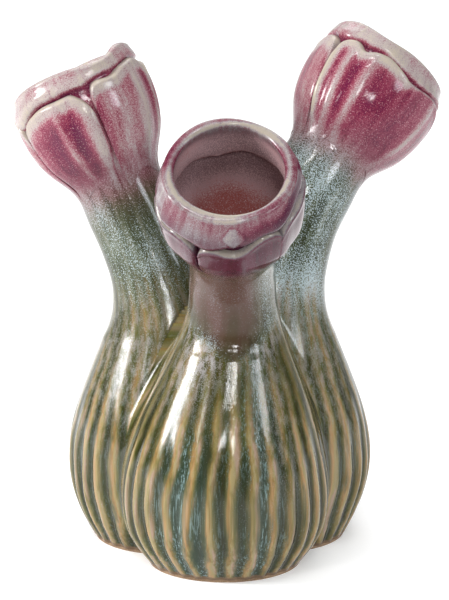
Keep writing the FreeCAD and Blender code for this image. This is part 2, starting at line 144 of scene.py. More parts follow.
class Stem:
    """The bent axis of one stem, and the radius of its skin along it."""

    def __init__(self, name, sizes):
        self.name = name
        self.azimuth = math.radians(sizes["azimuth"])
        self.swing = math.radians(sizes["swing"])
        self.turn = self.azimuth + self.swing
        self.rise = WAIST_HEIGHT - sizes["bend_drop"]
        self.bend = math.radians(sizes["bend"])
        self.bend_radius = sizes["bend_radius"]
        self.shift = sizes["shift"]
        self.throat = self.rise + self.bend_radius * self.bend + sizes["reach"]
        quarter = (self.throat - WAIST_HEIGHT) / 4.0
        waist, neck = sizes["waist"], sizes["neck"]
        flare = SWELL_RADIUS - THROAT_RADIUS
        bow = (flare ** 2 + SWELL_LEVEL ** 2) / (2.0 * flare)
        knots = [
            (FOOT_RADIUS, FOOT_EDGE), (sizes["haunch"], HAUNCH_HEIGHT),
            (BELLY_RADIUS, BELLY_HEIGHT), (sizes["shoulder"], SHOULDER_HEIGHT),
            (waist, WAIST_HEIGHT), (waist * 0.3 + neck * 0.7, WAIST_HEIGHT + quarter),
            (neck, WAIST_HEIGHT + 2.0 * quarter),
            (neck * 0.85 + THROAT_RADIUS * 0.15, WAIST_HEIGHT + 3.0 * quarter),
            (THROAT_RADIUS, self.throat),
        ]
        for share in (0.33, 0.66, 1.0):
            up = SWELL_LEVEL * share
            reach = SWELL_RADIUS - bow + math.sqrt(bow ** 2 - (SWELL_LEVEL - up) ** 2)
            knots.append((reach, self.throat + up))
        knots.append((LIP_RADIUS, self.throat + CUP_HEIGHT - (LIP_RADIUS - MOUTH_RADIUS) / 2.0))
        curve = natural_spline(knots, PROFILE_POINTS)
        self.curve = curve[np.argsort(curve[:, 1])]

    def radius(self, along):
        return np.interp(along, self.curve[:, 1], self.curve[:, 0])

    def valley(self, along):
        """Radius at the bottom of the ribs' valleys."""
        return self.radius(along) - 0.45 * clay_ribs(along) - 0.5 * glazed_ribs(along)

    def drift(self, height):
        """How far the axis has moved sideways."""
        return self.shift * smooth(height, BELLY_HEIGHT, WAIST_HEIGHT)

    def axis(self, along):
        """Middle of a section, and how far it is tipped."""
        tilt = np.clip((along - self.rise) / self.bend_radius, 0.0, self.bend)
        straight = np.maximum(along - self.rise - self.bend_radius * self.bend, 0.0)
        out = self.bend_radius * (1.0 - np.cos(tilt)) + straight * np.sin(tilt)
        up = np.minimum(along, self.rise) + self.bend_radius * np.sin(tilt)
        up += straight * np.cos(tilt)
        drift = self.drift(along)
        x = STEM_OFFSET * math.cos(self.azimuth) - drift * math.sin(self.azimuth)
        y = STEM_OFFSET * math.sin(self.azimuth) + drift * math.cos(self.azimuth)
        x, y = x + out * math.cos(self.turn), y + out * math.sin(self.turn)
        return np.stack([x, y, up], -1), tilt

    def outward(self, along, angle):
        """Direction square to the axis, at an angle counted from the way the stem bends."""
        tilt = self.axis(along)[1]
        ahead, across = np.cos(angle), np.sin(angle)
        x = ahead * np.cos(tilt) * math.cos(self.turn) - across * math.sin(self.turn)
        y = ahead * np.cos(tilt) * math.sin(self.turn) + across * math.cos(self.turn)
        return np.stack([x, y, -ahead * np.sin(tilt)], -1)

    def place(self, along, angle, reach):
        return self.axis(along)[0] + reach[..., None] * self.outward(along, angle)

    def distance(self, points):
        """How far points lie outside the bottoms of the valleys."""
        drift = self.drift(points[..., 2])
        x = points[..., 0] - STEM_OFFSET * math.cos(self.azimuth) + drift * math.sin(self.azimuth)
        y = points[..., 1] - STEM_OFFSET * math.sin(self.azimuth) - drift * math.cos(self.azimuth)
        out = x * math.cos(self.turn) + y * math.sin(self.turn)
        across = -x * math.sin(self.turn) + y * math.cos(self.turn)
        up = points[..., 2] - self.rise
        tilt = np.clip(np.arctan2(up, self.bend_radius - out), 0.0, self.bend)
        ahead = np.where(up > 0.0, self.bend_radius - np.hypot(self.bend_radius - out, up), out)
        along = np.where(up > 0.0, self.rise + self.bend_radius * tilt, points[..., 2])
        return np.hypot(ahead, across) - self.valley(along)


stems = {name: Stem(name, dict(zip(STEM_SIZES, sizes))) for name, sizes in STEMS.items()}


# Marks that the meshes carry, for the relief:
#   out     the way it is raised
#   angle   where that is, round the stem
#   grown   how much of the ribbing is there
#   lump    how much of the hand's unevenness is there
# and for the glaze:
#   rib     share of the way from valley to ridge
#   side    which flank of a rib it is
#   stripe  how strongly ridges and valleys differ in colour
#   zone    -1 bare rim of the foot, 0 ribbed glaze, 1 speckled neck, 2 flower
#   tone    0 deep magenta to 1 cream, on the flowers
#   blush   brown rose on a neck in place of green, and painted shade on a flower
#   milk    pale crystals
#   teal    blue-green runs in the valleys
#   inside  1 in the bores
#   flow    place on the stem as if it were straight, for streaks that run down it

def front_border(degrees):
    """Where the front stem's ribbed glaze ends, lowest in the middle."""
    aside = np.abs(turned_from(degrees, 2.3))
    return np.interp(aside, [0.0, 19.0, 41.0, 63.0, 110.0, 180.0],
                     [88.6, 95.6, 101.0, 106.0, 112.0, 116.0])


def zones(stem, along, angle):
    """Where one glaze gives way to the next, along and around a stem."""
    height = along - stem.throat
    degrees = np.degrees(angle)
    stripe = 1.0 - 0.8 * smooth(along, 46, 88)
    if stem.name == "front":
        border = front_border(degrees)
        aside = turned_from(degrees, -8)
        ribbed = smooth(along, border - 6, border + 4)
        blush = 0.95 - 0.75 * smooth(aside, 26, 60) - 0.45 * smooth(-aside, 55, 100)
        blush *= 0.35 + 0.65 * smooth(along, border - 4, border + 14)
        # On the flower the blush mark is painted shade: it darkens the whole front flower, a
        # little less towards the top of its lip
        blush = blend(blush, 0.92, smooth(height, 4, 10))
        blush *= 1.0 - 0.42 * smooth(height, 35, 44)
        bloom = smooth(height, 4, 9)
        milk = 0.9 * facing(degrees, -36, 26) * hump(along, 88, 16)
        milk = milk + 0.5 * hump(along, border - 6, 5) + 0.3 * facing(degrees, 38, 16)
        milk = milk * (1.0 - 0.8 * facing(degrees, 4, 14)) * smooth(along, 20, 60)
        milk *= 1.0 - 0.7 * smooth(along, border, border + 12)
        teal = facing(degrees, -22, 17) * fall(along, 35, 80)
        teal += 0.7 * facing(degrees, 24, 13)
    elif stem.name == "left":
        ribbed = smooth(along, 94, 128)
        blush = 0.45 * smooth(height, -26, -2) * fall(height, 0, 14)
        bloom = smooth(height, -18, 8)
        upper = smooth(along, 130, 148)
        milk = 0.2 + 0.3 * upper - 0.35 * (1.0 - upper) * facing(degrees, 10, 50)
        # Fewer pale crystals on the side facing the front stem, so it is darker there: partly the
        # crystals' own spread, partly painted shade between the stems
        milk *= 1.0 - 0.8 * facing(degrees, 150, 55)
        milk = milk * smooth(along, 96, 118) + 0.5 * hump(along, 84, 26)
        teal = 0.12
    else:
        ribbed = smooth(along, 90, 122)
        blush = 0.35 * smooth(height, -20, 0) * fall(height, 2, 14)
        bloom = smooth(height, -16, 8)
        milk = 0.64 * smooth(along, 88, 116) * (1.0 - 0.35 * hump(along, 130, 11))
        milk += 0.4 * hump(along, 78, 24)
        milk *= 1.0 - 0.4 * facing(degrees, 60, 80)
        teal = 0.1 + 0.4 * smooth(along, 70, 100)
    bare = 1.0 - smooth(along, 1.8, 3.4)
    return {"zone": ribbed + bloom - bare, "blush": blush, "milk": np.clip(milk, 0.0, 1.0),
            "teal": np.clip(teal, 0.0, 1.0), "stripe": stripe}


def make_mesh(points, faces, marks):
    """A mesh in metres. Its marks may have any shape that runs in the order of its points."""
    mesh = bpy.data.meshes.new("shape")
    mesh.from_pydata((points * MM).tolist(), [], faces, shade_flat=False)
    for mark, values in marks.items():
        kind, key = ("FLOAT_VECTOR", "vector") if mark in ("out", "flow") else ("FLOAT", "value")
        layer = mesh.attributes.new(mark, kind, "POINT")
        layer.data.foreach_set(key, np.array(values, np.float32).ravel())
    return mesh


def skin_marks(stem, along, angle, mean, given):
    """The marks of points at a mean radius on a stem, apart from those that are given."""
    flow = np.stack([mean * np.cos(angle), mean * np.sin(angle), along], -1) * MM
    marks = {"angle": angle, "grown": 0.0, "lump": 1.0, "tone": 0.55, "inside": 0.0}
    marks.update(zones(stem, along, angle))
    marks.update(given)
    marks = {mark: np.broadcast_to(value, along.shape) for mark, value in marks.items()}
    return {"out": stem.outward(along, angle), "flow": flow, **marks}


def ring_faces(rows, columns):
    """Quads between rings of points, the last joined to the first, facing out of the wall."""
    low, first = np.meshgrid(np.arange(rows), np.arange(columns), indexing="ij")
    high, second = (low + 1) % rows, (first + 1) % columns
    quads = np.stack([low * columns + first, low * columns + second,
                      high * columns + second, high * columns + first], -1)
    return quads.reshape(-1, 4).tolist()


def rings(heights, columns):
    """The same heights in every column."""
    return np.repeat(np.array(heights)[:, None], columns, 1)


def round_angles(along):
    """Angle of each column, evenly round the stem."""
    columns = along.shape[1]
    return np.broadcast_to(np.arange(columns) * 2.0 * math.pi / columns, along.shape)


def shell(stem, skin, bore, marks):
    """Closed wall of a stem: rings up its skin and down its bore.

    Skin and bore are lists of (along, reach) arrays, one value for each column."""
    along, reach = np.array(skin + bore).transpose(1, 0, 2)
    angle = round_angles(along)
    points = stem.place(along, angle, reach).reshape(-1, 3)
    marks = {"angle": angle + stem.swing, **marks}
    marks = skin_marks(stem, along, angle, stem.radius(along), marks)
    return make_mesh(points, ring_faces(*along.shape), marks)


# Node trees

class Nodes:
    """Adds nodes to a tree and links what they are given."""

    def __init__(self, tree):
        self.tree = tree

    def add(self, kind, inputs=None, **settings):
        node = self.tree.nodes.new(kind)
        for key, value in settings.items():
            setattr(node, key, value)
        for socket, value in (inputs or {}).items():
            self.put(node.inputs[socket], value)
        return node

    def put(self, socket, value):
        if isinstance(value, bpy.types.NodeSocket):
            self.tree.links.new(value, socket)
        elif value is not None:
            socket.default_value = value

    def math(self, operation, *values):
        return self.add("ShaderNodeMath", dict(enumerate(values)), operation=operation).outputs[0]

    def times(self, first, second):
        return self.math("MULTIPLY", first, second)

    def times_plus(self, value, factor, added):
        return self.math("MULTIPLY_ADD", value, factor, added)

    def times_vector(self, first, second):
        node = self.add("ShaderNodeVectorMath", {0: first, 1: second}, operation="MULTIPLY")
        return node.outputs["Vector"]

    def scaled(self, vector, factor):
        inputs = {"Vector": vector, "Scale": factor}
        return self.add("ShaderNodeVectorMath", inputs, operation="SCALE").outputs["Vector"]

    def span(self, value, low, high, to_low=0.0, to_high=1.0):
        """Goes softly from to_low to to_high while the value goes from low to high."""
        inputs = dict(enumerate((value, low, high, to_low, to_high)))
        node = self.add("ShaderNodeMapRange", inputs, interpolation_type="SMOOTHSTEP")
        return node.outputs[0]


def group(name, kind, inputs, outputs):
    """A tree with named sockets, what adds its nodes, what it is given and what it gives."""
    tree = bpy.data.node_groups.new(name, kind)
    for way, sockets in (("INPUT", inputs), ("OUTPUT", outputs)):
        for label, form, *value in sockets:
            socket = tree.interface.new_socket(label, in_out=way, socket_type="NodeSocket" + form)
            if value:
                socket.default_value = value[0]
    nodes = Nodes(tree)
    return tree, nodes, nodes.add("NodeGroupInput").outputs, nodes.add("NodeGroupOutput").inputs


def put_in_scene(name, data):
    thing = bpy.data.objects.new(name, data)
    bpy.context.scene.collection.objects.link(thing)
    return thing


def relief_tree():
    """Ribs and hand-made lumps, pushed out of a smooth skin along its own marks."""
    sizes = [
        ("Rib count", RIB_COUNT), ("Rib depth", GLAZED_DEPTH * MM), ("Valley softness", 0.7),
        ("Rib wander", 0.26), ("Wander scale", 26), ("Lump height", 0.35 * MM),
        ("Lump scale", 38), ("Seed", 0),
    ]
    inputs = [("Geometry", "Geometry"), *((name, "Float", value) for name, value in sizes),
              ("Material", "Material")]
    tree, nodes, given, result = group("rib relief", "GeometryNodeTree", inputs,
                                       [("Geometry", "Geometry")])

    def mark(name, kind="FLOAT"):
        node = nodes.add("GeometryNodeInputNamedAttribute", {"Name": name}, data_type=kind)
        return node.outputs["Attribute"]

    place = nodes.add("GeometryNodeInputPosition").outputs[0]

    def swing(scale, detail):
        """Noise that swings about 0."""
        inputs = {"Vector": place, "W": given["Seed"], "Scale": scale, "Detail": detail}
        noise = nodes.add("ShaderNodeTexNoise", inputs, noise_dimensions="4D")
        return nodes.math("SUBTRACT", noise.outputs[0], 0.5)

    # A rib's crest is rounded, and the valley between two of them is sharp but for its softness
    wander = swing(given["Wander scale"], 2.0)
    angle = nodes.times_plus(wander, given["Rib wander"], mark("angle"))
    phase = nodes.times(nodes.times(given["Rib count"], 0.5), angle)
    bow = nodes.math("ABSOLUTE", nodes.math("COSINE", phase))
    soft = given["Valley softness"]
    soft_square = nodes.times(soft, soft)
    arc = nodes.math("SQRT", nodes.times_plus(bow, bow, soft_square))
    full = nodes.math("SQRT", nodes.math("ADD", soft_square, 1.0))
    arc, full = nodes.math("SUBTRACT", arc, soft), nodes.math("SUBTRACT", full, soft)
    crest = nodes.math("DIVIDE", arc, full)
    flank = nodes.math("SINE", nodes.times(phase, 2.0))
    rib = nodes.times(nodes.times(crest, mark("grown")), given["Rib depth"])
    lump = nodes.times(swing(given["Lump scale"], 1.0), given["Lump height"])
    lump = nodes.times(lump, mark("lump"))
    marked = given["Geometry"]
    for name, value in (("rib", crest), ("side", flank)):
        inputs = {"Geometry": marked, "Name": name, "Value": value}
        marked = nodes.add("GeometryNodeStoreNamedAttribute", inputs,
                           data_type="FLOAT", domain="POINT").outputs[0]
    moved = nodes.add("GeometryNodeSetPosition", {
        "Geometry": marked,
        "Offset": nodes.scaled(mark("out", "FLOAT_VECTOR"), nodes.math("ADD", rib, lump)),
    })
    real = nodes.add("GeometryNodeRealizeInstances", {"Geometry": moved.outputs[0]})
    dressed = nodes.add("GeometryNodeSetMaterial",
                        {"Geometry": real.outputs[0], "Material": given["Material"]})
    nodes.put(result["Geometry"], dressed.outputs[0])
    return tree


def colour(red, green, blue):
    """A colour as it is seen, turned into light."""
    parts = []
    for part in (red / 255.0, green / 255.0, blue / 255.0):
        parts.append(part / 12.92 if part <= 0.04045 else ((part + 0.055) / 1.055) ** 2.4)
    return (*parts, 1.0)


# The marks that the glaze reads, besides the flow
MARKS = ("rib", "side", "stripe", "zone", "tone", "blush", "inside", "milk", "teal")


def glaze_group():
    """The running glaze: tan ridges over green valleys, a speckled neck and rose flowers."""
    inputs = [*((mark.capitalize(), "Float") for mark in MARKS), ("Flow", "Vector")]
    outputs = [("Colour", "Color"), ("Roughness", "Float"), ("Height", "Float")]
    tree, nodes, given, result = group("reactive glaze", "ShaderNodeTree", inputs, outputs)
    flow = given["Flow"]
    times, times_plus, span = nodes.times, nodes.times_plus, nodes.span
    place = nodes.add("ShaderNodeTexCoord").outputs["Object"]

    def noise(vector, scale, detail, rough=0.55):
        inputs = {"Vector": vector, "Scale": scale, "Detail": detail, "Roughness": rough}
        return nodes.add("ShaderNodeTexNoise", inputs).outputs[0]

    def streaks(squeeze, scale, detail, rough=0.55):
        """Noise drawn out down the stem, because the flow is squeezed along it."""
        squeezed = nodes.times_vector(flow, (1.0, 1.0, squeeze))
        return noise(squeezed, scale, detail, rough)

    def mix(factor, first, second):
        inputs = {"Factor": factor, 6: first, 7: second}    # 6 and 7 are the colours A and B
        return nodes.add("ShaderNodeMix", inputs, data_type="RGBA").outputs[2]

    def ramp(value, stops):
        node = nodes.add("ShaderNodeValToRGB", {"Fac": value})
        bar = node.color_ramp
        while len(bar.elements) < len(stops):
            bar.elements.new(1.0)
        for element, (at, tint) in zip(bar.elements, stops):
            element.position = at
            element.color = tint
        return node.outputs[0]

    def seen(*stops):
        return [(at, colour(*tint)) for at, *tint in stops]

    def sway(value, size, middle):
        """Shifts a middle value by a noise that swings about 0.5."""
        return times_plus(nodes.math("SUBTRACT", value, 0.5), size, middle)

    streak = streaks(0.1, 420, 4)
    line = streaks(0.03, 480, 2)
    fine = streaks(0.02, 1300, 2)
    broad = streaks(0.16, 95, 2)
    run = streaks(0.06, 1400, 3, 0.7)
    cloud = noise(place, 26, 2)
    grain = noise(place, 2100, 2, 0.7)

    # Ribbed glaze
    worn = sway(fine, 0.5, sway(line, 0.7, given["Rib"]))
    worn = times_plus(nodes.math("SUBTRACT", worn, 0.6), given["Stripe"], 0.5)
    worn = sway(broad, 1.2, worn)
    ribbed = ramp(worn, seen((0.0, 38, 39, 14), (0.24, 54, 55, 22), (0.4, 74, 72, 38),
                             (0.56, 94, 87, 54), (0.74, 116, 102, 68), (0.92, 140, 124, 94)))
    hue = sway(cloud, 1.2, sway(line, 1.0, times_plus(given["Side"], 0.3, 0.5)))
    # Halves in this ramp leave a colour as it is
    tint = ramp(hue, ((0.14, (0.51, 0.5, 0.56, 1.0)), (0.3, (0.6, 0.465, 0.37, 1.0)),
                      (0.5, (0.5, 0.505, 0.4, 1.0)), (0.68, (0.47, 0.5, 0.46, 1.0)),
                      (0.84, (0.54, 0.49, 0.63, 1.0))))
    ribbed = nodes.scaled(nodes.times_vector(ribbed, tint), 2.0)
    low = span(worn, 0.74, 0.46)
    ribbed = mix(times(low, times(given["Teal"], 0.4)), ribbed, colour(50, 76, 72))
    runs = times(span(run, 0.5, 0.66), span(broad, 0.36, 0.52))
    runs = times(runs, times_plus(given["Teal"], 0.9, 0.06))
    ribbed = mix(times(runs, low), ribbed, colour(126, 150, 150))
    milky = times(span(sway(grain, 1.0, line), 0.36, 0.7), given["Milk"])
    ribbed = mix(times(milky, 0.7), ribbed, colour(166, 162, 164))

    # Speckled neck
    neck = ramp(sway(cloud, 0.9, streak),
                seen((0.35, 46, 50, 32), (0.5, 68, 74, 54), (0.65, 92, 96, 78)))
    brown = ramp(sway(cloud, 0.8, broad),
                 seen((0.3, 66, 52, 36), (0.5, 84, 58, 52), (0.7, 92, 66, 62)))
    neck = mix(given["Blush"], neck, brown)
    crystal = times_plus(given["Milk"], 0.2, sway(broad, 0.3, sway(cloud, 0.4, grain)))
    crystal = span(crystal, 0.58, 0.67)
    pale = times_plus(given["Blush"], -0.7, 0.9)
    neck = mix(times(crystal, pale), neck, colour(164, 178, 182))

    # Flowers
    sand = times_plus(given["Blush"], -0.8, 1.2)
    toned = sway(streak, 0.6, sway(grain, sand, given["Tone"]))
    toned = sway(broad, 0.4, sway(cloud, 0.4, toned))
    bloom = ramp(toned, seen((0.0, 88, 22, 54), (0.2, 110, 37, 59), (0.4, 133, 63, 81),
                             (0.58, 150, 110, 114), (0.78, 158, 147, 147), (1.0, 168, 157, 142)))
    dust = times(span(grain, 0.6, 0.7), 0.55)
    bloom = mix(dust, bloom, colour(190, 164, 170))
    # Painted shade: where the blush mark lies on a flower, its colour is darkened and cooled, pale
    # tones less
    painted_shade = times(given["Blush"], span(toned, 0.6, 1.0, 1.0, 0.55))
    bloom = mix(painted_shade, bloom, nodes.times_vector(bloom, (0.29, 0.31, 0.37)))

    # One over the next, with a grainy border
    ragged = sway(streak, 0.8, sway(grain, 1.4, given["Zone"]))
    over_neck = span(ragged, 0.05, 0.95)
    over_bloom = span(ragged, 1.05, 1.95)
    skin = mix(over_bloom, mix(over_neck, ribbed, neck), bloom)
    skin = mix(span(ragged, -0.3, -0.8), skin, colour(104, 82, 60))
    # The bores' glaze is given light colours: painted light that stands in for the light that
    # hardly reaches inside
    within = ramp(sway(cloud, 0.6, sway(grain, 1.0, given["Tone"])),
                  seen((0.15, 150, 84, 80), (0.45, 172, 142, 144), (0.7, 104, 82, 84)))
    within = mix(times(dust, 1.6), within, colour(204, 176, 174))
    nodes.put(result["Colour"], mix(given["Inside"], skin, within))

    nodes.put(result["Roughness"], span(grain, 0.3, 0.7, 0.04, 0.09))
    pin_cells = nodes.add("ShaderNodeTexVoronoi", {"Vector": place, "Scale": 95.0}, feature="F1")
    pinhole = span(pin_cells.outputs["Distance"], 0.035, 0.0)
    height = times_plus(streak, 0.3, times(cloud, 0.4))
    height = times_plus(grain, 0.08, height)
    height = times_plus(pinhole, -1.6, height)
    nodes.put(result["Height"], height)
    return tree


def bare_material(name):
    """A material without nodes, and what adds them."""
    material = bpy.data.materials.new(name)
    material.use_nodes = True
    material.node_tree.nodes.clear()
    return material, Nodes(material.node_tree)


def glaze(name, tree):
    """A glossy glaze that follows a piece's own marks."""
    material, nodes = bare_material(name)
    run = nodes.add("ShaderNodeGroup", node_tree=tree)
    for mark in MARKS:
        read = nodes.add("ShaderNodeAttribute", attribute_name=mark)
        nodes.put(run.inputs[mark.capitalize()], read.outputs["Fac"])
    read = nodes.add("ShaderNodeAttribute", attribute_name="flow")
    nodes.put(run.inputs["Flow"], read.outputs["Vector"])
    bump = nodes.add("ShaderNodeBump",
                     {"Strength": 0.35, "Distance": 0.0006, "Height": run.outputs["Height"]})
    shader = nodes.add("ShaderNodeBsdfPrincipled", {
        "Base Color": run.outputs["Colour"], "Roughness": run.outputs["Roughness"],
        "Normal": bump.outputs[0], "IOR": 1.36,
    })
    nodes.add("ShaderNodeOutputMaterial", {"Surface": shader.outputs[0]})
    return material


def clay():
    """Bare fired clay, fine and a little grainy."""
    material, nodes = bare_material("bare clay")
    place = nodes.add("ShaderNodeTexCoord").outputs["Object"]
    fine = nodes.add("ShaderNodeTexNoise", {"Vector": place, "Scale": 1400.0, "Detail": 4.0})
    broad = nodes.add("ShaderNodeTexNoise", {"Vector": place, "Scale": 60.0, "Detail": 3.0})
    fine, broad = fine.outputs[0], broad.outputs[0]
    both = nodes.times_plus(fine, 0.5, nodes.times(broad, 0.5))
    ramp = nodes.add("ShaderNodeValToRGB", {"Fac": both})
    bar = ramp.color_ramp
    bar.elements[0].position, bar.elements[0].color = 0.35, colour(110, 86, 64)
    bar.elements[1].position, bar.elements[1].color = 0.65, colour(156, 130, 102)
    bump = nodes.add("ShaderNodeBump", {"Strength": 0.5, "Distance": 0.0003, "Height": fine})
    rough = nodes.span(fine, 0.3, 0.7, 0.72, 0.9)
    shader = nodes.add("ShaderNodeBsdfPrincipled", {
        "Base Color": ramp.outputs[0], "Roughness": rough, "Normal": bump.outputs[0]})
    nodes.add("ShaderNodeOutputMaterial", {"Surface": shader.outputs[0]})
    return material


RELIEF = relief_tree()
GLAZE = glaze_group()
MATERIALS = {
    "ribbed_glaze": glaze("ribbed running glaze", GLAZE),
    "neck_glaze": glaze("speckled neck glaze", GLAZE),
    "lip_glaze": glaze("rose lip glaze", GLAZE),
    "petal_glaze": glaze("rose petal glaze", GLAZE),
    "bare_clay": clay(),
}


SHARP_EDGE = math.radians(50.0)
SEED = 3.0


def settle(stem, mesh, part, slot, node=None):
    """Raise the relief on a mesh, keep it as plain faces and hand it to the frame."""
    name = "%s_%s_glazed" % (stem.name, part)
    node = "%s_%s" % (stem.name, node or part)
    piece = put_in_scene(name, mesh)
    relief = piece.modifiers.new("relief", "NODES")
    relief.node_group = RELIEF
    sizes = {"Material": MATERIALS[slot], "Seed": SEED + stem.azimuth}
    for item in RELIEF.interface.items_tree:
        if item.in_out == "INPUT" and item.name in sizes:
            relief[item.identifier] = sizes[item.name]
    graph = bpy.context.evaluated_depsgraph_get()
    plain = bpy.data.meshes.new_from_object(piece.evaluated_get(graph))
    piece.modifiers.clear()
    piece.data = plain
    bpy.data.meshes.remove(mesh)
    plain.name = name
    plain.set_sharp_from_angle(angle=SHARP_EDGE)
    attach(piece, "root")
    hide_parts(node)


# Ribbed bulbs

SEAM = 0.6              # the narrow ring beside a join between two pieces
BULB_COLUMNS, BULB_ROWS, BULB_BORE_ROWS = 480, 112, 18
WELD = 5.0              # how near two bulbs are when their skins start to run together
WELD_REACH = 9.0        # the most that a weld fills up
HALVINGS = 22
CUT_SIDES = (-60.0, 60.0)


def soft_least(near, *others):
    """Smallest of some distances, rounded where two of them are nearly the same."""
    ordered = np.sort(np.stack((near, *others)), 0)
    overlap = np.maximum(WELD - (ordered[1] - ordered[0]), 0.0)
    return ordered[0] - overlap ** 2 / (4.0 * WELD)


def welded_reach(stem, others, along, angle):
    """Reach of a bulb's skin where it runs softly into its neighbours."""
    low = stem.valley(along) - 0.01
    high = low + WELD_REACH
    centre, way = stem.axis(along)[0], stem.outward(along, angle)
    base = low.copy()
    for _ in range(HALVINGS):
        middle = (low + high) / 2.0
        points = centre + middle[..., None] * way
        inside = soft_least(middle - base, *(other.distance(points) for other in others)) < 0.0
        low, high = np.where(inside, middle, low), np.where(inside, high, middle)
    points = centre + low[..., None] * way
    gap = np.min([other.distance(points) for other in others], 0) - (low - base)
    return low, gap


def make_bulb(stem):
    others = [other for other in stems.values() if other is not stem]
    rows = [*np.linspace(FOOT_EDGE, WAIST_HEIGHT - SEAM, BULB_ROWS), WAIST_HEIGHT]
    along = rings(rows, BULB_COLUMNS)
    reach, gap = welded_reach(stem, others, along, round_angles(along))
    bore_along = rings(np.linspace(WAIST_HEIGHT, FOOT_EDGE, BULB_BORE_ROWS), BULB_COLUMNS)
    bore_reach = stem.radius(bore_along) - WALL
    free = smooth(gap, 0.5, 7)
    depth = glazed_ribs(along) / GLAZED_DEPTH
    nothing = np.zeros_like(bore_along)
    marks = {
        "grown": np.concatenate((depth * free, nothing)),
        "lump": np.concatenate((free, nothing)),
        "inside": np.concatenate((np.zeros_like(along), nothing + 1.0)),
    }
    mesh = shell(stem, list(zip(along, reach)), list(zip(bore_along, bore_reach)), marks)
    cut = bmesh.new()
    cut.from_mesh(mesh)
    for side in CUT_SIDES:
        edge = stem.azimuth + math.radians(side)
        away = Vector((-math.sin(edge), math.cos(edge), 0.0)) * (1.0 if side > 0 else -1.0)
        found = bmesh.ops.bisect_plane(
            cut, geom=cut.verts[:] + cut.edges[:] + cut.faces[:], dist=1e-7,
            plane_co=(0.0, 0.0, 0.0), plane_no=away, clear_outer=True)
        rim = [item for item in found["geom_cut"] if isinstance(item, bmesh.types.BMEdge)]
        bmesh.ops.triangle_fill(cut, edges=rim, use_beauty=True, normal=away)
    bmesh.ops.recalc_face_normals(cut, faces=cut.faces[:])
    cut.to_mesh(mesh)
    cut.free()
    settle(stem, mesh, "bulb", "ribbed_glaze")


# Necks

NECK_COLUMNS, NECK_ROWS = 240, 50


def make_neck(stem):
    inner_rows = np.linspace(WAIST_HEIGHT + SEAM, stem.throat - SEAM, NECK_ROWS)
    along = rings([WAIST_HEIGHT, *inner_rows, stem.throat], NECK_COLUMNS)
    bore = along[::-3]
    marks = {
        "inside": np.concatenate((np.zeros_like(along), np.ones_like(bore))),
        "lump": np.concatenate((np.ones_like(along), np.zeros_like(bore))),
    }
    mesh = shell(stem, list(zip(along, stem.valley(along))),
                 list(zip(bore, stem.radius(bore) - WALL)), marks)
    settle(stem, mesh, "neck", "neck_glaze")


# Flower cups

# Line under the rolled lip, as angle round the head and height over the throat
LIP_LINES = {
    "front": {-170: 36, -130: 34, -100: 31.5, -65: 31.4, -42: 33.5, -26: 32.5, -18: 31.3, -4: 33.5,
        3: 34.5, 17: 35, 26: 36.8, 41: 35.5, 54: 37.3, 71: 40, 110: 38, 145: 36.5},
    "left": {-161: 41.7, -120: 39.5, -80: 41.5, -40: 38.5, 0: 34.5, 35: 31.8, 49: 32.4, 56: 34,
        63: 36.2, 72: 38.2, 93: 39.3, 110: 39.7, 119: 39.4, 134: 41, 155: 41.3, 176: 43},
    "right": {-178: 39.6, -158: 41, -149: 40.4, -137: 40.8, -125: 39.6, -110: 38.4, -93: 38.1,
        -60: 40, -20: 38.5, 20: 41, 60: 39, 100: 40.5, 140: 41, 161: 42.4},
}

# Top of the lip above or below its mean height
LIP_WAVES = {
    "front": {-160: 0.6, -110: -0.8, -60: 0.2, -20: -0.4, 20: 0.5, 60: 0, 110: 0.8, 150: -0.4},
    "left": {-178: 2.6, -160: 1.4, -140: 0, -90: 0.6, -40: -0.8, 0: -1.6, 36: -1.8, 60: 0.2,
        80: 1.2, 100: 1.4, 122: 0.6, 148: -0.4, 160: 0.8, 172: 2.6},
    "right": {-175: 2.4, -158: 1.5, -140: 0.6, -118: 0.8, -95: 0.6, -70: 0.2, -40: 0.2, 0: -0.6,
        50: 0.3, 100: -0.5, 140: 0.8, 165: 2.2},
}

# Lip pushed out or drawn in from round
LIP_PUSHES = {
    "front": {-150: 0.3, -100: -0.3, -60: 0.5, 0: 0, 50: 0.4, 100: -0.3},
    "left": {-175: 0.6, -130: -0.4, -60: 0.3, 0: 0, 40: 0.4, 95: 0.2, 140: -0.6},
    "right": {-170: 0.4, -125: -0.2, -95: -1.4, -60: -1.8, -20: -0.4, 60: 0.2, 150: 0.6},
}

# How far a rolled lip stands out from its cup, and how much more the front one past its step
LIP_PROUD, STEP_PROUD = 2.2, 1.1


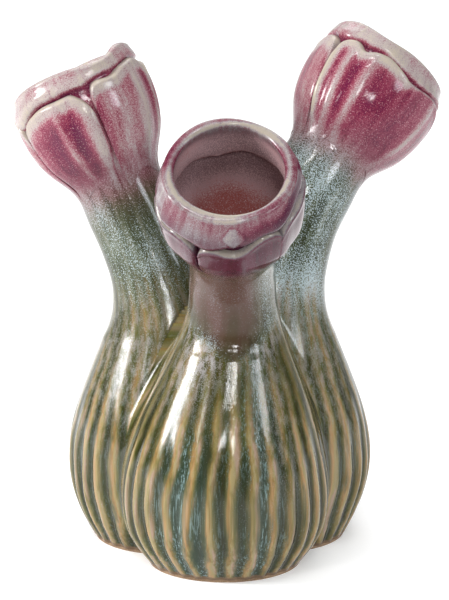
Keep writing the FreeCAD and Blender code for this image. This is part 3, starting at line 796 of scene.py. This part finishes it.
def lip_relief(stem, height, degrees):
    """How far the rolled lip stands proud of the cup, and the glaze's tone, with painted shade
    below it.
    """
    over = height - round_curve(LIP_LINES[stem.name], degrees)
    proud = LIP_PROUD * smooth(over, -1, 1.2) + 0.5 * hump(over, 4, 2.5)
    proud += round_curve(LIP_PUSHES[stem.name], degrees) * smooth(over, 0, 4)
    # Below the lip the cup's skin is deep magenta, darkest just under the lip: the glaze's colour
    # in the groove and painted shade of the lip's overhang
    dark = (0.0 if stem.name == "front" else 0.1) + 0.25 * smooth(-over, 2, 8)
    dark = blend(dark, 0.55, fall(height, 4, 18))
    if stem.name != "front":
        tone = 0.86 - 0.25 * facing(degrees, 178, 16) * fall(over, 2, 5)
        tone -= 0.14 * hump(over, 7, 2.5)
        return proud, blend(dark, tone, smooth(over, -0.8, 1.6))
    turned = turned_from(degrees, 0)
    step = turned_from(degrees, -62)
    ahead = smooth(step, -1.5, 1.5) * fall(step, 60, 140)
    proud += STEP_PROUD * ahead * smooth(over, -0.5, 1)
    tone = 0.56 - 0.2 * smooth(turned, -8, 30) * fall(over, 5, 9)
    tone += 0.25 * smooth(-turned, 62, 66) * smooth(over, 4, 8)
    tone -= 0.65 * hump(turned, 76, 38) * fall(over, 5, 8)
    tone += 0.26 * hump(turned, -24, 18) * hump(height, 38.5, 4.5)
    tone -= 0.25 * hump(turned, -72, 8) * fall(over, 3, 6)
    # Painted shade along the lip's lower edge
    tone -= 0.3 * fall(over, 0.5, 3.2)

    # A pale drop of glaze at the front, pointed below
    breadth = 0.6 + 6.4 * smooth(height, 34.5, 40.5) * (1.0 - 0.7 * smooth(height, 39.5, 44))
    drip = np.clip(1.6 - np.abs(turned - 4.0) / breadth, 0.0, 1.0)
    drip = drip * fall(height, 43, 44.5) * smooth(height, 34, 35)
    tone = blend(tone - 0.3 * hump(drip, 0.2, 0.2), 0.7, smooth(drip, 0.2, 1))
    return proud + 0.35 * drip, blend(dark, tone, smooth(over, -0.6, 1))


CUP_COLUMNS, CUP_ROWS, CUP_BORE_ROWS, ROLL_STEPS = 300, 64, 44, 12


def make_cup(stem):
    degrees = np.arange(CUP_COLUMNS) * 360.0 / CUP_COLUMNS
    top = CUP_HEIGHT + round_curve(LIP_WAVES[stem.name], degrees)
    roll = (LIP_RADIUS - MOUTH_RADIUS) / 2.0
    skin, bore, tones = [], [], []
    for share in np.linspace(0.0, 1.0, CUP_ROWS):
        height = share * (top - roll)
        proud, tone = lip_relief(stem, height, degrees)
        proud *= 1.0 - 0.45 * smooth(share, 0.86, 1)
        flush = stem.radius(stem.throat + share * (CUP_HEIGHT - roll))
        skin.append((stem.throat + height, flush + proud))
        tones.append(tone)

    # Over the rolled lip, round a mouth that isn't quite a circle
    uneven = 0.4 * wave(degrees, 2, 60) + 0.35 * wave(degrees, 3, -40)
    uneven += 0.2 * wave(degrees, 5)
    outer, inner = skin[-1][1], MOUTH_RADIUS + uneven
    middle, half = (outer + inner) / 2.0, (outer - inner) / 2.0
    twice, often = np.radians(degrees * 2.0 + 30.0), np.radians(degrees * 5.0)
    patches = 0.1 * np.cos(twice) + 0.08 * np.cos(often)
    for step in range(1, ROLL_STEPS):
        way = math.pi * step / ROLL_STEPS
        over = stem.throat + top - roll + roll * math.sin(way)
        skin.append((over, middle + half * math.cos(way)))
        band = hump(step, 7.8 + 1.4 * wave(degrees, 2, 40), 1.9)
        rim = 0.5 + 0.5 * band + 0.15 * hump(step, 3, 0.9) + 1.4 * patches
        tones.append(rim if stem.name == "front" else np.full(CUP_COLUMNS, 0.84))

    # Down the bore, past a fold left by the turning
    hollow = SWELL_RADIUS - CUP_WALL
    flare = hollow - THROAT_RADIUS + WALL
    bow = (flare ** 2 + SWELL_LEVEL ** 2) / (2.0 * flare)
    fold = 31.0 + 1.2 * wave(degrees, 3, 40) + 0.7 * wave(degrees, 7)
    sides = hump(np.abs(turned_from(degrees, 0)), 128, 26)
    for share in np.linspace(1.0, 0.0, CUP_BORE_ROWS):
        height, level = share * (top - roll), share * (CUP_HEIGHT - roll)
        if level > SWELL_LEVEL:
            done = (level - SWELL_LEVEL) / (CUP_HEIGHT - roll - SWELL_LEVEL)
            reach = blend(hollow, MOUTH_RADIUS, done ** 2)
        else:
            reach = hollow - bow + math.sqrt(bow ** 2 - (SWELL_LEVEL - level) ** 2)
        drawn = 1.5 * smooth(height, fold - 0.5, fold + 0.9) * fall(height, fold + 1.5, fold + 11)
        bore.append((stem.throat + height, reach + uneven * smooth(level, 38, 45) - drawn))
        deep = 0.15 + 0.5 * smooth(height, 4, 24)
        above = 0.58 + 0.12 * smooth(height, 40, 45) - 0.35 * hump(height, fold, 1.2)
        above -= 0.13 * sides * hump(height, 40, 5)
        tones.append(blend(deep, above, smooth(height, fold - 0.5, fold + 0.5)))
    inside = np.zeros((len(tones), CUP_COLUMNS))
    heights = np.array([along for along, _ in bore]) - stem.throat
    inside[-len(bore):] = fall(heights, 40, 45)
    mesh = shell(stem, skin, bore, {"tone": np.array(tones), "inside": inside})
    settle(stem, mesh, "cup", "lip_glaze", "flower_cup")


# Petals

# Folds that run down a petal, as share of its half width, height and width, ridges positive and
# valleys negative. These are for the petals that don't show in front
FOLDS = [(-0.85, 0.5, 0.14), (-0.5, -0.5, 0.16), (-0.12, 0.35, 0.14), (0.3, -0.6, 0.16),
         (0.74, 0.7, 0.16)]

# Each petal: its top edge, as angle and height from one side to the other, and its folds
PETALS = {
    "front": [
        ({-26: 25.5, -24: 28, -20.6: 30, -11: 31.3, -2.6: 30, 4.2: 29.2, 11: 30.2,
         18.5: 33.3, 26.4: 35.8, 35.4: 36, 40: 35, 43.5: 33.4},
         [(-0.7, 0.2, 0.2), (-0.2, -0.25, 0.2), (0.1, 0.3, 0.1), (0.45, -0.5, 0.16),
          (0.75, -0.3, 0.2)]),
        ({42: 28, 46: 32.5, 53: 36, 65: 37, 80: 38, 100: 36, 112: 32, 118: 26}, FOLDS),
        ({119: 24, 124: 31, 140: 35, 155: 33.5, 170: 35.5, 184: 31, 190: 24}, FOLDS),
        ({191: 24, 196: 31, 210: 34, 226: 32.5, 240: 33, 254: 29, 260: 22}, FOLDS),
        ({-99: 24, -94: 29, -80: 31, -63: 29.8, -53: 31.8, -42.5: 32.6, -34: 31.6,
         -29: 28.5, -27: 23},
         [(-0.6, -0.3, 0.2), (0.1, 0.3, 0.2), (0.5, -0.2, 0.15), (0.8, 0.5, 0.2)]),
    ],
    "left": [
        ({50: 26, 54: 32, 65: 35.6, 77: 37.1, 90: 37.3, 102: 37.4, 108: 37, 114: 34.4,
         119: 30.5, 122: 25},
         [(-0.95, 0.5, 0.14), (-0.3, -0.6, 0.2), (0.1, 0.8, 0.1), (0.42, -0.75, 0.13),
          (0.83, 1.25, 0.24)]),
        ({123: 32, 126: 36.9, 132: 38.6, 141: 38.2, 150: 38.4, 158: 39.9, 170: 41.2,
         184: 41, 190: 38, 194: 32},
         [(-0.95, -0.4, 0.12), (-0.45, 0.15, 0.2), (0.25, 0.75, 0.2), (0.62, -0.6, 0.14),
          (0.95, 0.7, 0.1)]),
        ({195: 30, 199: 36, 212: 38.5, 229: 36, 246: 38, 260: 34, 265: 28}, FOLDS),
        ({266: 28, 271: 35, 285: 38.5, 301: 36, 318: 38.5, 331: 34, 337: 28}, FOLDS),
        ({338: 27, 344: 35, 358: 38, 373: 36, 390: 37.5, 403: 33, 409: 26}, FOLDS),
    ],
    "right": [
        ({-178: 33, -174: 37.5, -168: 39.4, -158: 38.8, -150.5: 36.8, -144: 38.2,
         -137: 39.2, -128: 39.4, -118: 38.2, -110: 37, -106: 36.2},
         [(-0.94, 1.7, 0.16), (-0.72, -0.4, 0.1), (-0.48, 0.75, 0.11), (-0.22, -0.6, 0.13),
          (0.08, 0.7, 0.12), (0.42, -0.5, 0.2), (0.8, -0.25, 0.2)]),
        ({-108: 36.2, -100: 36, -88: 36.8, -70: 38, -54: 36.6, -42: 32, -34: 25},
         [(-0.6, -0.35, 0.35), (0.02, 0.85, 0.12), (0.45, -0.3, 0.2), (0.85, 0.3, 0.12)]),
        ({-33: 25, -27: 32, -14: 36.5, 2: 34.5, 17: 37, 31: 32, 37: 26}, FOLDS),
        ({38: 27, 44: 34, 58: 38, 73: 36, 90: 38, 103: 34, 109: 27}, FOLDS),
        ({110: 28, 116: 35, 130: 39, 146: 37.5, 162: 40, 172: 38.8, 178: 36, 181: 31},
         [(-0.6, -0.5, 0.16), (-0.2, 0.4, 0.16), (0.2, -0.5, 0.2), (0.6, 0.2, 0.16)]),
    ],
}


def crowded(count):
    """Shares from -1 to 1, closer together at both ends."""
    even = np.linspace(-1.0, 1.0, count)
    return 0.55 * np.sin(even * math.pi / 2.0) + 0.45 * even


# How deep the crease is at each side of a petal, and how dark its painted shade is
CREASES = {
    "front": [(0.35, 0.0), (0.3, 0.6), (0.6, 0.6), (0.6, 0.6), (0.6, 0.5)],
    "left": [(0.5, 0.8), (0.4, 0.5), (0.5, 0.5), (0.5, 0.5), (0.5, 0.5)],
    "right": [(0.6, 0.0), (0.0, 0.5), (0.5, 0.5), (0.5, 0.5), (0.5, 0.3)],
}

# Tone of the pale frost at a petal's top, and how far it reaches down
FROST = {"front": (0.9, 2.2), "left": (0.84, 9.5), "right": (0.86, 8.0)}

# Tone between the folds
MIDDLE_TONE = 0.36
MIDDLE_TONES = {("left", 1): 0.18, ("left", 2): 0.5, ("right", 5): 0.5}

PETAL_COLUMNS, PETAL_ROWS = 66, 60
PETAL_THICK, PETAL_BED, PETAL_ROUND = 2.7, 0.8, 1.9
FOLD_RAISE, FOLD_SHADE = 0.6, 0.48      # mm and tone that a fold of height 1 adds


def edge_round(distance, radius):
    """Height of a rounded edge, from 0 at the edge to 1 at its radius."""
    inner = 1.0 - np.clip(distance / radius, 0.0, 1.0)
    return np.sqrt(np.maximum(1.0 - inner ** 2, 0.0))


def make_petal(stem, number, tops, folds):
    front = stem.name == "front"
    first, last = min(tops), max(tops)
    # How much the rounded edge adds to the top, and the height and wave of the foot
    lift, low, dip = (0.6, 8.5, 1.2) if front else (1.2, -3.0, 2.4)
    share = crowded(PETAL_COLUMNS)[None, :]
    rise = (crowded(PETAL_ROWS)[:, None] + 1.0) / 2.0
    middle, half = (first + last) / 2.0, (last - first) / 2.0
    edge = natural_spline(list(tops.items()), EDGE_POINTS)
    at = middle + half * share
    top = np.interp(at, edge[:, 0], edge[:, 1]) + lift
    foot = low + dip * np.cos(share * math.pi)
    height = foot + rise * (top - foot)
    left, right = CREASES[stem.name][number - 1]
    crease = np.where(share < 0.0, left, right)
    narrow = 1.0 - 0.12 * crease * fall(height, 0, 16)
    degrees = middle + half * share * narrow
    skin = stem.radius(stem.throat + np.minimum(height, CUP_HEIGHT - 2.0))
    side = (1.0 - np.abs(share)) * np.radians(half * narrow) * skin
    below = (top - height) * 0.95
    if front:
        body = 0.9 + 1.9 * smooth(height, 8, 20)
        body *= edge_round(height - foot, 2.2)
    else:
        body = PETAL_THICK * smooth(height, -8, 26)
    fold_height = np.zeros_like(height)
    fold_tone = np.zeros_like(height)
    reach_in = smooth(top - height, 0.5, 7) * smooth(height, -4, 14)
    for place, size, width in folds:
        shape = hump(share, place, width)
        fold_height += FOLD_RAISE * size * shape
        fold_tone += FOLD_SHADE * size * shape
    thick = body + fold_height * reach_in * np.minimum(body / 2.0, 1.0)
    thick += 0.3 * hump(below, 1.8, 1.6) * smooth(height, 10, 20)
    crease = crease * (0.3 + 0.7 * smooth(height, 4, 24))
    beside = 1.0 - crease * (1.0 - edge_round(side, PETAL_ROUND))
    outline = beside * edge_round(below, PETAL_ROUND)
    reach = skin - 0.3 + (thick + 0.3) * outline
    along = stem.throat + height
    angle = np.radians(degrees)
    which = (stem.name, number)
    frost, drop = FROST[stem.name]
    if which == ("right", 2):
        frost = 0.84 - 0.34 * smooth(share, -1, -0.6)
        drop = 8.0 - 5.0 * smooth(share, -1, -0.6)
    elif which == ("right", 5):
        drop = 12.0
    elif which == ("front", 2):
        frost = 0.7
    tone = MIDDLE_TONES.get(which, MIDDLE_TONE) + fold_tone * (0.35 + 0.65 * reach_in)
    tone = np.maximum(tone, frost * fall(below, 0.35 * drop, drop))
    frosty_folds = 0.9 * frost * fall(below, 0.6 * drop, 1.6 * drop) * (0.6 + fold_tone)
    tone = np.maximum(tone, frosty_folds)
    tone += 0.15 * hump(below, 0.8, 0.9)
    if not front:
        tone = blend(tone, 0.62, fall(height, -4, 10))
    # Painted shade in the creases: the tone darkens towards a petal's side edges, the more the
    # deeper the crease
    clear_of_crease_shade = smooth(side, 0, 1.2)
    tone = tone * (1.0 - crease * (1.0 - clear_of_crease_shade)) + 0.05 * crease * (1.0 - clear_of_crease_shade)

    outer = stem.place(along, angle, reach)
    inner = stem.place(along, angle, skin - PETAL_BED)
    points = np.stack((outer, inner)).reshape(-1, 3)
    index = np.arange(PETAL_ROWS * PETAL_COLUMNS).reshape(PETAL_ROWS, PETAL_COLUMNS)
    under = index.size
    back = index + under
    quads = [
        np.stack([index[:-1, :-1], index[:-1, 1:], index[1:, 1:], index[1:, :-1]], -1),
        np.stack([back[:-1, :-1], back[1:, :-1], back[1:, 1:], back[:-1, 1:]], -1),
    ]
    quads = [faces.reshape(-1, 4) for faces in quads]
    border = np.concatenate((index[0, :-1], index[:-1, -1], index[-1, :0:-1], index[:0:-1, 0]))
    following = np.roll(border, -1)
    quads.append(np.stack([border, border + under, following + under, following], -1))
    given = {"tone": tone, "zone": 2.0} if front else {"tone": tone}
    marks = skin_marks(stem, along, angle, skin, given)
    marks = {mark: np.stack((values, values)) for mark, values in marks.items()}
    mesh = make_mesh(points, np.concatenate(quads).tolist(), marks)
    settle(stem, mesh, "petal_%d" % number, "petal_glaze")


for stem in stems.values():
    make_bulb(stem)
    make_neck(stem)
    make_cup(stem)
    for number, petal in enumerate(PETALS[stem.name], start=1):
        make_petal(stem, number, *petal)

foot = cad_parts["foot_slab"]
foot.data.materials.clear()
foot.data.materials.append(MATERIALS["bare_clay"])


# Floor, light and camera

def floor():
    """Pale floor that turns up softly into a wall far behind."""
    width, near, far, curve, wall_top, steps = 3.0, -3.0, 2.2, 1.2, 4.0, 16
    profile = [(near, 0.0), (far, 0.0)]
    for step in range(1, steps + 1):
        turn = math.pi / 2.0 * step / steps
        profile.append((far + curve * math.sin(turn), curve * (1.0 - math.cos(turn))))
    profile.append((far + curve, wall_top))
    points = [(x, y, z) for y, z in profile for x in (-width, width)]
    faces = [(2 * i, 2 * i + 1, 2 * i + 3, 2 * i + 2) for i in range(len(profile) - 1)]
    mesh = bpy.data.meshes.new("floor")
    mesh.from_pydata(points, [], faces, shade_flat=False)
    sweep = put_in_scene("floor", mesh)
    material = bpy.data.materials.new("pale floor")
    material.use_nodes = True
    nodes = Nodes(material.node_tree)
    place = nodes.add("ShaderNodeTexCoord").outputs["Object"]
    ahead = nodes.add("ShaderNodeSeparateXYZ", {"Vector": place}).outputs["Y"]
    shade = nodes.span(ahead, -0.65, -0.12, 0.45, 1.0)
    shader = material.node_tree.nodes["Principled BSDF"]
    white = nodes.add("ShaderNodeCombineXYZ", {0: 0.95, 1: 0.95, 2: 0.95}).outputs[0]
    nodes.put(shader.inputs["Base Color"], nodes.scaled(white, shade))
    shader.inputs["Roughness"].default_value = 0.9
    shader.inputs["Specular IOR Level"].default_value = 0.1
    shader.inputs["Emission Color"].default_value = (1.0, 1.0, 1.0, 1.0)
    nodes.put(shader.inputs["Emission Strength"], nodes.times(shade, 0.2))
    mesh.materials.append(material)


HEART = Vector((0.0, 0.0, 0.1))     # what the panels face

# Name, azimuth and elevation, distance, width and height, radiance and tint. Azimuth 0 is the
# camera's side and 90 the right
PANELS = (
    ("left softbox", -80, 25, 1.5, 0.7, 0.8, 6),
    ("left core", -82, 22, 1.5, 0.38, 0.44, 33),
    ("left strip", -38, 25, 1.6, 0.12, 0.3, 14),
    ("upper window", 4, 31.6, 1.6, 0.36, 0.08, 46),
    ("lower window", 5, 21.4, 1.6, 0.34, 0.1, 46),
    ("right softbox", 52, 24, 1.6, 0.4, 0.44, 14, (0.88, 0.94, 1)),
    ("top strip", 0, 66, 1.6, 1, 0.035, 60),
    ("overhead", 0, 88, 1.8, 1.3, 1.3, 1.2),
    ("behind", 180, 50, 2.3, 1.8, 1.2, 2.6),
)


def look(name, data, target, away, distance):
    """A lamp or camera some way off that looks back at its target."""
    thing = put_in_scene(name, data)
    thing.location = target + away * distance
    thing.rotation_euler = (-away).to_track_quat("-Z", "Y").to_euler()
    return thing


def panel(name, azimuth, elevation, distance, width, height, radiance, tint=(1.0, 1.0, 1.0)):
    """Soft panel that faces the vase."""
    turn, lift = math.radians(azimuth), math.radians(elevation)
    flat = math.cos(lift)
    away = Vector((math.sin(turn) * flat, -math.cos(turn) * flat, math.sin(lift)))
    light = bpy.data.lights.new(name, "AREA")
    light.shape = "RECTANGLE"
    light.size, light.size_y = width, height
    light.energy = radiance * math.pi * width * height
    light.color = tint
    look(name, light, HEART, away, distance)


floor()
for sizes in PANELS:
    panel(*sizes)

world = bpy.data.worlds.new("pale room")
world.use_nodes = True
air = world.node_tree.nodes["Background"].inputs
air["Color"].default_value = (1.0, 1.0, 1.0, 1.0)
air["Strength"].default_value = 0.17
bpy.context.scene.world = world
bpy.context.scene.view_settings.view_transform = "Standard"

RAISED = math.radians(14.5)         # how far above level the camera looks down from
AIM, DISTANCE = Vector((0.0013, 0.0, 0.10269)), 1.4738

camera_data = bpy.data.cameras.new("camera")
camera_data.sensor_width = 36.0
camera_data.lens = 216.65
back = Vector((0.0, -math.cos(RAISED), math.sin(RAISED)))
bpy.context.scene.camera = look("camera", camera_data, AIM, back, DISTANCE)
